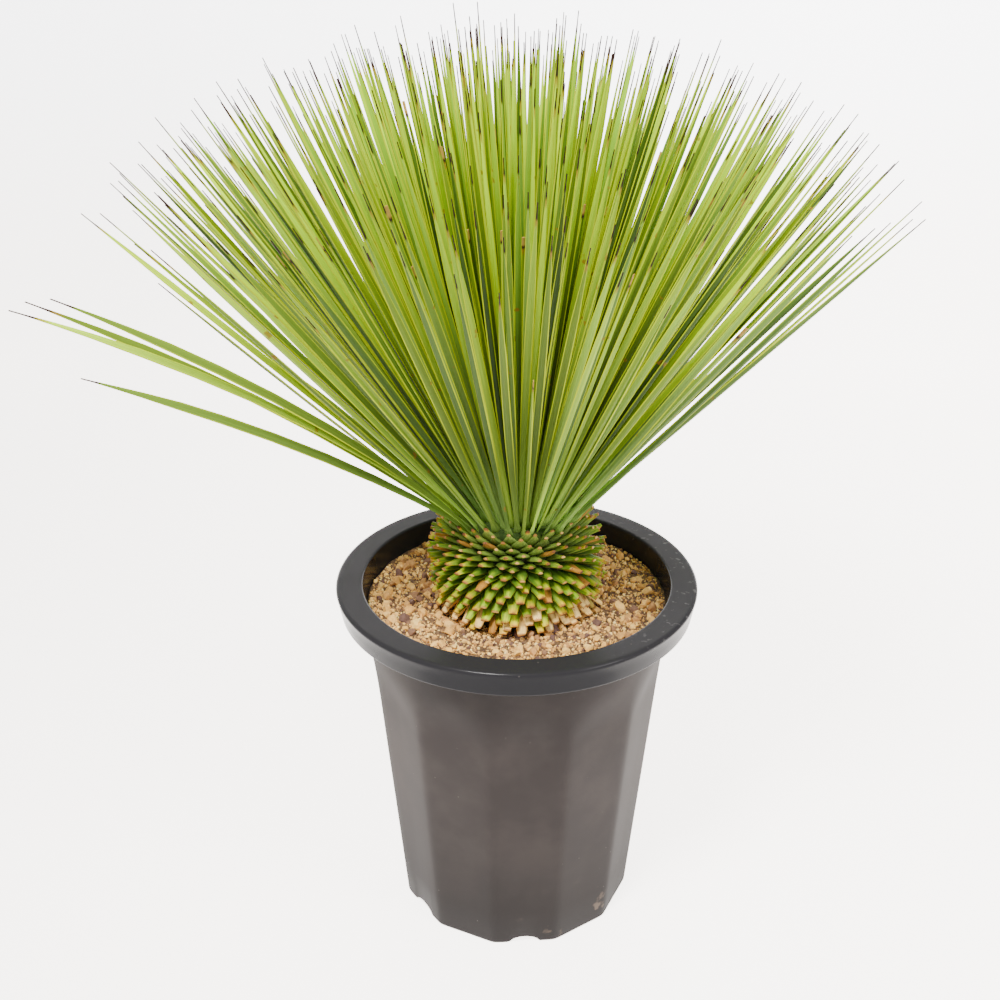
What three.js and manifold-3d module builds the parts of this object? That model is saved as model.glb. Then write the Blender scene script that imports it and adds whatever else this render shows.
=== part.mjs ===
// A yucca with a round head of narrow leaves on a short trunk of trimmed leaf bases,
// planted in granular soil in a deep twelve-sided nursery pot.
// Millimetres, +Z up, origin at the centre of the pot's foot, -Y is the front.

import * as THREE from 'three';
import { mergeVertices } from 'three/addons/utils/BufferGeometryUtils.js';
import Module from 'manifold-3d';

const wasm = await Module();
wasm.setup();

// ---- Driving dimensions --------------------------------------------------------------

const GAP = 0.3;                       // air left between two pieces that touch

const POT_HEIGHT = 339;
const RIM_RADIUS = 165;                // outer edge of the rim
const RIM_INNER_RADIUS = 140.4;        // the rim's top is about 25 wide
const RIM_SKIRT_HEIGHT = 24;
const RIM_SKIRT_RADIUS = 161;          // lower edge of the skirt
const WALL = 3;
const POT_SIDES = 12;
const POT_TURN = 4.3 * Math.PI / 180;  // one facet's middle, from the front towards +X
const POT_STEPS = 36;                  // three steps to a facet
const BODY_FOOT_RADIUS = 112.5;        // to a corner, at the ground
const BODY_SLOPE = 0.088;              // gain in radius with height
const FACET_TOP = 240;                 // above this the facets fade out
const ROUND_FROM = 286;                // and here the body is round
const FLOOR_BOTTOM = 6;
const FLOOR_TOP = 9.5;
const FOOT_RING_WIDTH = 9;
const NOTCHED_SIDES = [-2, 0, 4, 6];   // counted from the facet at the front
const NOTCH_WIDTH = 29;
const NOTCH_HEIGHT = 6.5;
const DRAIN_COUNT = 5;
const DRAIN_RADIUS = 7;
const DRAIN_CIRCLE = 55;

const SOIL_LEVEL = 320;
const SOIL_RELIEF = 2.4;
const SOIL_STEPS = 54;

const STEM_RADIUS = 60;
const STEM_TOP_RADIUS = 54;
const STEM_SHOULDER_Z = 369;           // above this the stem rounds in to the crown
const STEM_FOOT_Z = 241;               // the stump ends this high inside the soil
const STEM_FOOT_RADIUS = 38;
const STEM_STEPS = 16;
const TRUNK_TOP = 399.5;

const STUB_COUNT = 190;
const STUB_LENGTH = 23;
const STUB_WIDTH = 12;                 // at the stem; the cut end is narrower
const STUB_THICKNESS = 4;
const STUB_FIRST_Z = 338;
const STUB_LAST_Z = 396;
const SOIL_CLEARANCE = 5.5;            // from the soil's level to a hanging stub's end

const LEAF_COUNT = 345;
const LEAF_LENGTH = 384;
const LEAF_WIDTH = 7.8;
const LEAF_KEEL = 1.8;                 // thickness at the middle of the blade
const LEAF_SUNK = 5;                   // how deep a leaf's root runs into the crown
const CROWN_RADIUS = 54;
const CROWN_Z = 405;
const CROWN_RISE = 34;
const FRONT_SPREAD = 39;               // degrees from upright, for the outermost leaves
const SIDE_SPREAD = 5.5;               // and this much more to the left and right
const HEAD_LEAN = 0.03;                // the whole head leans a little to the left
const LEFT_REACH = 26;                 // and its outermost leaves there are longer

// Four long leaves that have sagged out of the head on the left, and one short one there:
// azimuth and tilt in degrees, length in mm, sag as a share of the length.
const STRAY_LEAVES = [
  { azimuth: -130, tilt: 35, length: 442, sag: 0.32 },
  { azimuth: -133, tilt: 33, length: 438, sag: 0.35 },
  { azimuth: -127, tilt: 30, length: 403, sag: 0.38 },
  { azimuth: -125, tilt: 50, length: 376, sag: 0.12 },
  { azimuth: -106, tilt: 31, length: 217, sag: 0.20 },
];

const GOLDEN_ANGLE = Math.PI * (3 - Math.sqrt(5));

// ---- Small helpers -------------------------------------------------------------------

// A repeatable draw between 0 and 1 for item i and purpose salt.
function draw(i, salt) {
  const v = Math.sin(i * 12.9898 + salt * 78.233) * 43758.5453;
  return v - Math.floor(v);
}

function smooth(from, to, value) {
  return THREE.MathUtils.smoothstep(value, from, to);
}

// Azimuth 0 is the back (+Y) and grows towards +X.
function outward(azimuth) {
  return new THREE.Vector3(Math.sin(azimuth), Math.cos(azimuth), 0);
}

function toSolid(geometry) {
  const bare = geometry.clone();
  bare.deleteAttribute('normal');
  bare.deleteAttribute('uv');
  const merged = mergeVertices(bare, 1e-4);
  return new wasm.Manifold(new wasm.Mesh({
    numProp: 3,
    vertProperties: merged.attributes.position.array,
    triVerts: Uint32Array.from(merged.index.array),
  }));
}

function toGeometry(solid) {
  const mesh = solid.getMesh();
  const geometry = new THREE.BufferGeometry();
  geometry.setAttribute('position', new THREE.BufferAttribute(mesh.vertProperties, 3));
  geometry.setIndex(new THREE.BufferAttribute(mesh.triVerts, 1));
  return geometry;
}

// Pairwise, so each join works on bodies of like size.
function fuse(solids) {
  let row = solids;
  while (row.length > 1) {
    const next = [];
    for (let i = 0; i < row.length; i += 2) {
      next.push(i + 1 < row.length ? row[i].add(row[i + 1]) : row[i]);
    }
    row = next;
  }
  return row[0];
}

// The outer skin alone: pockets sealed between crossing pieces are filled.
function filled(solid) {
  const skins = solid.decompose();
  return skins.reduce((best, skin) => (skin.volume() > best.volume() ? skin : best));
}

// A lathe about Z from [radius, z] pairs that run up the outside and down the inside.
function lathe(profile, steps, turn = 0) {
  const points = profile.map(([r, z]) => new THREE.Vector2(r, z));
  return new THREE.LatheGeometry(points, steps).rotateX(Math.PI / 2).rotateZ(turn);
}

function moveVertices(geometry, move) {
  const bare = geometry.clone();
  bare.deleteAttribute('normal');
  bare.deleteAttribute('uv');
  const merged = mergeVertices(bare, 1e-4);
  const position = merged.attributes.position;
  const point = new THREE.Vector3();
  for (let i = 0; i < position.count; i += 1) {
    point.fromBufferAttribute(position, i);
    move(point);
    position.setXYZ(i, point.x, point.y, point.z);
  }
  return merged;
}

// ---- Pot -----------------------------------------------------------------------------

function roundRadius(z) {
  return BODY_FOOT_RADIUS + BODY_SLOPE * z;
}

// Moves a point of the round body in to the facet there; the facets fade out at the top.
function pressFacet(point) {
  const radius = Math.hypot(point.x, point.y);
  const inBody = point.z < ROUND_FROM && radius > roundRadius(point.z) - 1;
  if (!inBody) return;
  const facet = 2 * Math.PI / POT_SIDES;
  const azimuth = Math.atan2(point.x, -point.y) - POT_TURN;
  const off = THREE.MathUtils.euclideanModulo(azimuth + facet / 2, facet) - facet / 2;
  const flat = Math.cos(facet / 2) / Math.cos(off);
  const scale = THREE.MathUtils.lerp(flat, 1, smooth(FACET_TOP, ROUND_FROM, point.z));
  point.x *= scale;
  point.y *= scale;
}

// The wall is round inside: against the middle of each facet below, full width above.
function wallRadius(z) {
  const share = THREE.MathUtils.lerp(Math.cos(Math.PI / POT_SIDES), 1, smooth(FACET_TOP, ROUND_FROM, z));
  return roundRadius(z) * share - WALL;
}

function makePot() {
  const footInner = wallRadius(0) - FOOT_RING_WIDTH + WALL;
  const skirtBottom = POT_HEIGHT - RIM_SKIRT_HEIGHT;
  const flangeUnder = POT_HEIGHT - WALL - 1;
  const profile = [
    [0, FLOOR_BOTTOM],
    [footInner, FLOOR_BOTTOM],
    [footInner, 0],
    ...[0, FACET_TOP, 256, 270, ROUND_FROM, flangeUnder].map((z) => [roundRadius(z), z]),
    [RIM_RADIUS - WALL - 1, flangeUnder],
    [RIM_SKIRT_RADIUS - WALL, skirtBottom],
    [RIM_SKIRT_RADIUS, skirtBottom],
    [RIM_RADIUS, POT_HEIGHT - 2],
    [RIM_RADIUS - 1.5, POT_HEIGHT],
    [RIM_INNER_RADIUS + 1, POT_HEIGHT],
    [RIM_INNER_RADIUS, POT_HEIGHT - 2],
    ...[SOIL_LEVEL, ROUND_FROM, FACET_TOP, FLOOR_TOP].map((z) => [wallRadius(z), z]),
    [0, FLOOR_TOP],
  ];
  const cornerTurn = POT_TURN + Math.PI / POT_SIDES;
  let pot = toSolid(moveVertices(lathe(profile, POT_STEPS, cornerTurn), pressFacet));
  for (const side of NOTCHED_SIDES) {
    const azimuth = POT_TURN + side * 2 * Math.PI / POT_SIDES;
    const notch = new THREE.CylinderGeometry(NOTCH_HEIGHT, NOTCH_HEIGHT, 3 * FOOT_RING_WIDTH, 12);
    notch.scale(NOTCH_WIDTH / 2 / NOTCH_HEIGHT, 1, 1);
    notch.translate(0, -wallRadius(0), 0).rotateZ(azimuth);
    pot = pot.subtract(toSolid(notch));
  }
  for (let i = 0; i <= DRAIN_COUNT; i += 1) {
    const drain = new THREE.CylinderGeometry(DRAIN_RADIUS, DRAIN_RADIUS, 4 * WALL, 8);
    drain.rotateX(Math.PI / 2).translate(0, i === 0 ? 0 : -DRAIN_CIRCLE, (FLOOR_BOTTOM + FLOOR_TOP) / 2);
    drain.rotateZ(i * 2 * Math.PI / DRAIN_COUNT);
    pot = pot.subtract(toSolid(drain));
  }
  return toGeometry(pot);
}

// ---- Soil ----------------------------------------------------------------------------

// The grains stand out of the surface as low bumps; the soil dips a little at the trunk.
function raiseGrains(point) {
  if (point.z < SOIL_LEVEL - 1) return;
  const radius = Math.hypot(point.x, point.y);
  const azimuth = Math.atan2(point.x, point.y);
  const bump = Math.sin(radius * 0.83 + 3 * Math.sin(azimuth * 7)) * Math.cos(azimuth * 19 + radius * 0.31);
  const edge = smooth(wallRadius(SOIL_LEVEL), wallRadius(SOIL_LEVEL) - 14, radius);
  const nearTrunk = 1 - smooth(STEM_RADIUS, STEM_RADIUS + 35, radius);
  point.z += SOIL_RELIEF * bump * (0.3 + 0.7 * edge) * (1 - 0.6 * nearTrunk) - 3 * nearTrunk;
}

function makeSoil() {
  const stepShare = Math.cos(Math.PI / POT_STEPS);
  const hole = (radius) => radius + 2 * GAP;
  const side = [FLOOR_TOP + GAP, FACET_TOP, ROUND_FROM, SOIL_LEVEL];
  const rings = [127, 114, 101, 87, 74].map((radius) => [radius, SOIL_LEVEL]);
  const profile = [
    [0, FLOOR_TOP + GAP],
    ...side.map((z) => [wallRadius(z) * stepShare - GAP, z]),
    ...rings,
    [hole(STEM_RADIUS), SOIL_LEVEL],
    [hole(STEM_RADIUS - 4), SOIL_LEVEL - 22],
    [hole(STEM_FOOT_RADIUS), STEM_FOOT_Z - GAP],
    [0, STEM_FOOT_Z - GAP],
  ];
  return toGeometry(toSolid(moveVertices(lathe(profile, SOIL_STEPS), raiseGrains)));
}

// ---- Trunk ---------------------------------------------------------------------------

// The stem is straight up to its shoulder and then rounds in to the crown.
function stemRadius(z) {
  const inward = Math.max(0, z - STEM_SHOULDER_Z) / (TRUNK_TOP - STEM_SHOULDER_Z);
  return STEM_RADIUS - (STEM_RADIUS - STEM_TOP_RADIUS) * inward ** 1.5;
}

// Everything about one trimmed leaf base: the lowest ones hang until they all but touch
// the soil, and the upper ones are shorter and stand up.
function stubShape(i) {
  const rise = (i + 0.5) / STUB_COUNT;
  const z = THREE.MathUtils.lerp(STUB_FIRST_Z, STUB_LAST_Z, rise);
  const length = STUB_LENGTH * (0.9 + 0.2 * draw(i, 23)) * (1 - 0.22 * rise ** 3);
  const tilt = -34 + 87 * rise ** 1.2 + (draw(i, 21) - 0.5) * (12 - 5 * rise);
  const lowest = -Math.asin(Math.min(1, (z - SOIL_LEVEL - SOIL_CLEARANCE) / length));
  return {
    azimuth: i * GOLDEN_ANGLE + (draw(i, 22) - 0.5) * 0.06,
    z,
    tilt: Math.max(lowest, tilt * Math.PI / 180),
    length,
    width: STUB_WIDTH * (0.9 + 0.2 * draw(i, 24)) * (1 - 0.25 * rise ** 2),
  };
}

function makeStub(i) {
  const { azimuth, z, tilt, length, width } = stubShape(i);
  const sunk = 7;
  const stub = new THREE.CylinderGeometry(0.7, 1, length + sunk, 3, 1);
  stub.rotateY(Math.PI).scale(width / Math.sqrt(3), 1, STUB_THICKNESS / 1.5);
  stub.translate(0, (length - sunk) / 2, 0).rotateX(tilt);
  stub.translate(0, stemRadius(z), z).rotateZ(-azimuth);
  return toSolid(stub);
}

function makeTrunk() {
  const stem = lathe([
    [0, STEM_FOOT_Z],
    [STEM_FOOT_RADIUS, STEM_FOOT_Z],
    [STEM_RADIUS - 4, SOIL_LEVEL - 22],
    [STEM_RADIUS, SOIL_LEVEL],
    ...[STEM_SHOULDER_Z, 384, TRUNK_TOP - GAP].map((z) => [stemRadius(z), z]),
    [0, TRUNK_TOP - GAP],
  ], STEM_STEPS);
  const stubs = Array.from({ length: STUB_COUNT }, (_, i) => makeStub(i));
  return toGeometry(filled(toSolid(stem).add(fuse(stubs))));
}

// ---- Leaf head -----------------------------------------------------------------------

function heading(azimuth, tilt) {
  return outward(azimuth).multiplyScalar(Math.sin(tilt)).setZ(Math.cos(tilt));
}

// Where leaf i starts, which way it goes and how it bends. Leaves near the middle of
// the crown stand upright, and the outermost ones lean the furthest.
function leafShape(i) {
  const t = Math.sqrt((i + 0.5) / LEAF_COUNT);
  const azimuth = i * GOLDEN_ANGLE;
  const sideways = Math.sin(azimuth) ** 2;
  const spread = (FRONT_SPREAD + SIDE_SPREAD * sideways) * t ** 1.05;
  const tilt = (spread + (draw(i, 1) - 0.5) * 3.4 * (0.3 + 0.7 * t)) * Math.PI / 180;
  const along = heading(azimuth + (draw(i, 2) - 0.5) * 0.12 * t, tilt);
  const left = LEFT_REACH * Math.max(0, -Math.sin(azimuth)) ** 6 * t ** 4;
  const free = LEAF_LENGTH + (4 + 10 * sideways) * t * t + left + 30 * (draw(i, 3) - 0.5);
  const died = draw(i, 4) < 0.09 ? 0.66 + 0.26 * draw(i, 5) : 1;
  return {
    root: outward(azimuth).multiplyScalar(CROWN_RADIUS * t).setZ(CROWN_Z + CROWN_RISE * (1 - t * t)),
    along: along.setX(along.x - HEAD_LEAN).normalize(),
    length: (free - 45 * t ** 10 * draw(i, 10)) * died,
    sag: 0.03 * (draw(i, 6) - 0.4) * t,
    drift: 0.03 * (draw(i, 7) - 0.5),
    roll: (draw(i, 9) - 0.5) * 1.2,
    twist: (draw(i, 8) - 0.5) * 1.6,
  };
}

function strayShape({ azimuth, tilt, length, sag }) {
  const turn = azimuth * Math.PI / 180;
  const root = outward(turn).multiplyScalar(CROWN_RADIUS).setZ(CROWN_Z);
  return { root, along: heading(turn, tilt * Math.PI / 180), length, sag, drift: 0, roll: 0.45, twist: 0.5 };
}

// Width along a leaf as a share of its widest, which it reaches before its middle.
function leafWidth(s) {
  return (0.62 + 0.38 * smooth(0.03, 0.4, s)) * (1 - 0.35 * s * s);
}

// A three-sided cone stretched along the leaf's curve: flat above, keeled below.
function makeLeaf(shape) {
  const spans = 3;
  const stations = [-LEAF_SUNK / shape.length, 0.34, 0.82, 1];
  const { along } = shape;
  const side = new THREE.Vector3(-along.y, along.x, 0).normalize();
  const down = new THREE.Vector3().crossVectors(side, along);
  const across = new THREE.Vector3();
  const back = new THREE.Vector3();
  return toSolid(moveVertices(new THREE.ConeGeometry(1, 1, 3, spans), (point) => {
    const row = Math.round((point.y + 0.5) * spans);
    const s = stations[row];
    const ring = row === spans ? 0 : 1 / (1 - row / spans);
    const bend = Math.max(0, s) ** 2;
    const turn = shape.roll + shape.twist * Math.max(0, s);
    across.copy(side).multiplyScalar(Math.cos(turn)).addScaledVector(down, Math.sin(turn));
    back.copy(down).multiplyScalar(Math.cos(turn)).addScaledVector(side, -Math.sin(turn));
    const acrossBy = point.x * ring * LEAF_WIDTH * leafWidth(Math.max(0, s)) / Math.sqrt(3);
    const backBy = point.z * ring * LEAF_KEEL / 1.5;
    point.copy(shape.root).addScaledVector(along, shape.length * s);
    point.addScaledVector(down, shape.length * shape.sag * bend);
    point.addScaledVector(side, shape.length * shape.drift * bend);
    point.addScaledVector(across, acrossBy).addScaledVector(back, backBy);
  }));
}

function makeLeafHead() {
  const crown = lathe([
    [0, TRUNK_TOP],
    [STEM_TOP_RADIUS - 1, TRUNK_TOP],
    [CROWN_RADIUS + 3, CROWN_Z - 2],
    [CROWN_RADIUS + 1, CROWN_Z + 5],
    [CROWN_RADIUS * 0.76, CROWN_Z + 18],
    [CROWN_RADIUS * 0.4, CROWN_Z + CROWN_RISE - 2],
    [0, CROWN_Z + CROWN_RISE + 4],
  ], STEM_STEPS);
  const leaves = Array.from({ length: LEAF_COUNT }, (_, i) => makeLeaf(leafShape(i)));
  const strays = STRAY_LEAVES.map((leaf) => makeLeaf(strayShape(leaf)));
  return toGeometry(filled(toSolid(crown).add(fuse([...leaves, ...strays]))));
}

// ---- The plant in its pot ------------------------------------------------------------

function finish(colour, roughness) {
  return new THREE.MeshStandardMaterial({ color: colour, roughness, metalness: 0, flatShading: true });
}

function piece(name, geometry, material) {
  const mesh = new THREE.Mesh(geometry, material);
  mesh.name = name;
  return mesh;
}

const yucca = new THREE.Group();
yucca.add(piece('pot', makePot(), finish(0x3b3a3c, 0.4)));
yucca.add(piece('soil', makeSoil(), finish(0xb89a76, 0.95)));
yucca.add(piece('trunk', makeTrunk(), finish(0x6f7d2c, 0.7)));
yucca.add(piece('leaf_head', makeLeafHead(), finish(0x7fa032, 0.5)));

export default yucca;
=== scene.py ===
import math

import bpy
import bmesh
import numpy as np
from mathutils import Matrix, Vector


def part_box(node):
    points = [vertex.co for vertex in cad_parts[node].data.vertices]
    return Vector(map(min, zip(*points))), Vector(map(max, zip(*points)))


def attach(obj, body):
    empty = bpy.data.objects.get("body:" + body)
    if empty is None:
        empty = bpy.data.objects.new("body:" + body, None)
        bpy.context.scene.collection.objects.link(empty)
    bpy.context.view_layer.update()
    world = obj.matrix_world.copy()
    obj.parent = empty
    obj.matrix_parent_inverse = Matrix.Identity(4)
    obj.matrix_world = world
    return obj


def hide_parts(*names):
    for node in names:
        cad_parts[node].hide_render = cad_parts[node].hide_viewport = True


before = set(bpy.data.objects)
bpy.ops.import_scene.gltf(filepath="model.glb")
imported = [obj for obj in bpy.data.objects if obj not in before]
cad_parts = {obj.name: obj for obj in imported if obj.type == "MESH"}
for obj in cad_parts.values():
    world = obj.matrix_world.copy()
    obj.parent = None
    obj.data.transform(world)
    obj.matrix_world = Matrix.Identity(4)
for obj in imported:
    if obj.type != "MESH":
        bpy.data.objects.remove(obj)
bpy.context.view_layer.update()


# ---- Studio ---------------------------------------------------------------------------
# The plant stands on a white paper sweep that runs up behind it. A soft lamp hangs above
# and to the left, with a weaker one on the right, and the paper and the room glow too.

CAMERA_PLACE = (-0.0152, -1.0918, 0.9445)
CAMERA_TILT = 64.18                     # degrees up from looking straight down
CAMERA_LENS = 48.9                      # millimetres
SENSOR_WIDTH = 36.0
SWEEP_BEND = 0.7
PAPER_WHITE = (0.90, 0.89, 0.89)
PAPER_GLOW = 4.0
GLOW_BY_FLOOR = (1.0, 0.935, 0.87)
GLOW_BY_WALL = (0.98, 0.98, 1.0)
ROOM_COLOUR = (0.97, 0.98, 1.0)
ROOM_LIGHT = (0.7, 4.8)                 # what the room throws, and how bright it looks

camera_data = bpy.data.cameras.new("camera")
camera_data.lens = CAMERA_LENS
camera_data.sensor_width = SENSOR_WIDTH
camera = bpy.data.objects.new("camera", camera_data)
camera.location = CAMERA_PLACE
camera.rotation_euler = (math.radians(CAMERA_TILT), 0.0, 0.0)
bpy.context.collection.objects.link(camera)
bpy.context.scene.camera = camera


def make_mesh(name, points, faces, smooth=True):
    """A new object at the origin whose mesh holds these points and faces, in metres."""
    mesh = bpy.data.meshes.new(name)
    mesh.from_pydata([tuple(p) for p in points], [], [tuple(f) for f in faces])
    mesh.polygons.foreach_set("use_smooth", [smooth] * len(mesh.polygons))
    mesh.validate()
    mesh.update()
    thing = bpy.data.objects.new(name, mesh)
    bpy.context.collection.objects.link(thing)
    return thing


def make_sweep():
    """Paper that lies on the floor, bends up behind the plant and hangs as its backdrop."""
    half_width, front, back, top = 3.0, -2.2, 1.5, 2.6
    arc = [(back + SWEEP_BEND * math.sin(a), SWEEP_BEND - SWEEP_BEND * math.cos(a))
           for a in np.linspace(0.0, math.pi / 2, 13)]
    line = [(front, 0.0)] + arc + [(back + SWEEP_BEND, top)]
    points = [(x, y, z) for y, z in line for x in (-half_width, half_width)]
    faces = [(2 * i, 2 * i + 1, 2 * i + 3, 2 * i + 2) for i in range(len(line) - 1)]
    return make_mesh("studio_sweep", points, faces)


def colour(red, green, blue):
    return (red, green, blue, 1.0)


class Nodes:
    """Adds nodes to a tree, links their inputs and hands back the output asked for."""

    def __init__(self, tree):
        self.tree = tree

    def add(self, kind, output=0, settings=None, **inputs):
        node = self.tree.nodes.new(kind)
        for key, value in (settings or {}).items():
            setattr(node, key, value)
        for key, value in inputs.items():
            self.set_input(node, key, value)
        return node.outputs[output]

    def set_input(self, node, key, value):
        name = key.replace("_", " ")
        socket = node.inputs[int(key[1:])] if key[0] == "i" and key[1:].isdigit() else node.inputs[name]
        if isinstance(value, bpy.types.NodeSocket):
            self.tree.links.new(value, socket)
        else:
            socket.default_value = value

    def math(self, operation, a, b=0.0, clamp=False):
        return self.add("ShaderNodeMath", settings={"operation": operation, "use_clamp": clamp}, i0=a, i1=b)

    def times(self, a, b):
        return self.math("MULTIPLY", a, b)

    def mix(self, share, a, b, blend="MIX"):
        settings = {"data_type": "RGBA", "blend_type": blend}
        return self.add("ShaderNodeMix", output=2, settings=settings, i0=share, i6=a, i7=b)

    def band(self, value, low, high):
        """0 at low and beyond it, 1 at high and beyond it, and smooth between."""
        settings = {"interpolation_type": "SMOOTHSTEP"}
        return self.add("ShaderNodeMapRange", settings=settings, Value=value, From_Min=low, From_Max=high)

    def remap(self, value, to_low, to_high, low=0.0, high=1.0):
        """The value with low to high moved evenly to to_low to to_high."""
        return self.add("ShaderNodeMapRange", Value=value, From_Min=low, From_Max=high,
                        To_Min=to_low, To_Max=to_high)

    def attribute(self, name):
        return self.add("ShaderNodeAttribute", output=2, settings={"attribute_name": name})

    def group(self, tree, output, **inputs):
        return self.add("ShaderNodeGroup", output=output, settings={"node_tree": tree}, **inputs)

    def place(self):
        return self.add("ShaderNodeNewGeometry")

    def axes(self):
        """The place on the surface as x, y and z, in metres."""
        parts = self.tree.nodes.new("ShaderNodeSeparateXYZ")
        self.tree.links.new(self.place(), parts.inputs[0])
        return tuple(parts.outputs)

    def noise(self, scale, detail=3.0, vector=None):
        where = vector if vector is not None else self.place()
        return self.add("ShaderNodeTexNoise", Vector=where, Scale=scale, Detail=detail)


def new_material(name, roughness=0.5):
    material = bpy.data.materials.new(name)
    material.use_nodes = True
    shader = material.node_tree.nodes["Principled BSDF"]
    shader.inputs["Roughness"].default_value = roughness
    return material, shader, Nodes(material.node_tree)


def lit_paper():
    """White paper that looks lit all over, and throws light from behind the plant
    and from the floor beside the pot, with more of it on the right."""
    material, shader, nodes = new_material("lit_paper", roughness=0.9)
    shader.inputs["Base Color"].default_value = colour(*PAPER_WHITE)
    x, y, z = nodes.axes()
    lit = nodes.times(nodes.band(y, -0.24, -0.17), nodes.band(nodes.math("ABSOLUTE", x), 1.7, 1.2))
    lit = nodes.times(lit, nodes.band(z, 1.2, 0.8))
    reach = nodes.add("ShaderNodeVectorMath", output=1, settings={"operation": "LENGTH"}, i0=nodes.place())
    lit = nodes.times(lit, nodes.remap(reach, 0.55, 0.75, 0.15, 1.0))
    lit = nodes.math("MAXIMUM", lit, nodes.add("ShaderNodeLightPath"))
    lit = nodes.times(lit, nodes.remap(x, 0.95, 1.4, -0.8, 0.8))
    glow = nodes.mix(nodes.band(z, 0.0, 0.6), colour(*GLOW_BY_FLOOR), colour(*GLOW_BY_WALL))
    nodes.tree.links.new(glow, shader.inputs["Emission Color"])
    nodes.tree.links.new(nodes.times(lit, PAPER_GLOW), shader.inputs["Emission Strength"])
    return material


sweep = make_sweep()
sweep.data.materials.append(lit_paper())

world = bpy.data.worlds.new("bright_room")
world.use_nodes = True
background = world.node_tree.nodes["Background"]
background.inputs["Color"].default_value = colour(*ROOM_COLOUR)
room = Nodes(world.node_tree)
seen = room.remap(room.add("ShaderNodeLightPath"), *ROOM_LIGHT)
world.node_tree.links.new(seen, background.inputs["Strength"])
bpy.context.scene.world = world


def soft_lamp(name, place, aim, size, watts, tint):
    data = bpy.data.lights.new(name, "AREA")
    data.shape = "DISK"
    data.size = size
    data.energy = watts
    data.color = tint
    lamp = bpy.data.objects.new(name, data)
    lamp.location = place
    lamp.rotation_euler = (Vector(aim) - Vector(place)).to_track_quat("-Z", "Y").to_euler()
    bpy.context.collection.objects.link(lamp)


soft_lamp("lamp_above", place=(-0.45, -1.0, 2.1), aim=(0.0, 0.0, 0.45), size=0.5, watts=80.0,
          tint=(1.0, 0.98, 0.95))
soft_lamp("lamp_right", place=(1.6, -1.2, 1.5), aim=(0.0, 0.0, 0.4), size=0.9, watts=28.0,
          tint=(1.0, 0.99, 0.97))


# ---- Pot ------------------------------------------------------------------------------
# A deep nursery pot, injection moulded in dark grey plastic: twelve soft-cornered sides that
# fade into a round neck, a wide rim with its edge turned down, and a notched foot ring.
# The floor stands off the ground and has six drain holes.

MM = 0.001
POT_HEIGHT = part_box("pot")[1][2]
RIM_RADIUS = 165 * MM
RIM_INNER_RADIUS = 140.4 * MM
RIM_SKIRT_HEIGHT = 24 * MM
RIM_SKIRT_RADIUS = 161 * MM
WALL = 3 * MM
POT_SIDES = 12
POT_TURN = math.radians(4.3)            # one facet's middle, from the front towards +X
BODY_FOOT_RADIUS = 112.5 * MM
BODY_SLOPE = 0.088
FACET_TOP = 240 * MM                    # about where the flats begin to fade at a corner
FACET_ARCH = 14 * MM                    # how much higher they do in a flat's middle
ROUND_FROM = 286 * MM
CORNER_BLEND = 0.028                    # radians over which a corner between two flats turns
CORNER_FILL = 0.01
RIM_ROUNDING = 3.2 * MM
LIP_ROUNDING = 2 * MM
FLOOR_BOTTOM = 6 * MM
FLOOR_TOP = 9.5 * MM
FOOT_RING_WIDTH = 9 * MM
NOTCHED_SIDES = (-2, 0, 4, 6)
NOTCH_WIDTH = 29 * MM
NOTCH_HEIGHT = 6.5 * MM
NOTCHED_FROM = 80 * MM                  # radius outside which the notches lift the foot ring
DRAIN_COUNT = 5                         # in a circle, with one more in the middle
DRAIN_RADIUS = 7 * MM
DRAIN_CIRCLE = 55 * MM
SOIL_LEVEL = 320 * MM
POT_STEPS = 240
FACET = 2 * math.pi / POT_SIDES
PLASTIC = colour(0.040, 0.032, 0.030)
PLASTIC_DUSTY = colour(0.060, 0.049, 0.045)
PLASTIC_SHADED_LOW = colour(0.010, 0.008, 0.008)
PLASTIC_RIM = colour(0.022, 0.021, 0.023)
DUST_SPECK = colour(0.26, 0.23, 0.20)
DRIED_MUD = colour(0.17, 0.12, 0.085)
SCUFFED = colour(0.42, 0.41, 0.40)


def smoothstep(low, high, value):
    share = min(1.0, max(0.0, (value - low) / (high - low)))
    return share * share * (3 - 2 * share)


def round_radius(z):
    return BODY_FOOT_RADIUS + BODY_SLOPE * z


def wall_radius(z):
    """The wall is round inside: against the middle of each facet below, full width above."""
    share = math.cos(FACET / 2)
    share += (1 - share) * smoothstep(FACET_TOP, ROUND_FROM, z)
    return round_radius(z) * share - WALL


def facet_scale(azimuth, z):
    """How far the flats pull the round body in, with their corners softened."""
    off = (azimuth - POT_TURN + FACET / 2) % FACET - FACET / 2
    corner = FACET / 2
    softened = corner - math.sqrt((corner - abs(off)) ** 2 + CORNER_BLEND ** 2) + CORNER_FILL
    flat = math.cos(corner) / math.cos(softened)
    arch = FACET_TOP + FACET_ARCH * math.cos(off * POT_SIDES / 2)
    return flat + (1 - flat) * smoothstep(arch - 10 * MM, ROUND_FROM + 4 * MM, z)


def corner_arc(centre, radius, start, end, count):
    """Points round a moulded edge, in the (radius, height) plane, angles in degrees."""
    angles = np.radians(np.linspace(start, end, count))
    return [(centre[0] + radius * math.cos(a), centre[1] + radius * math.sin(a)) for a in angles]


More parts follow.
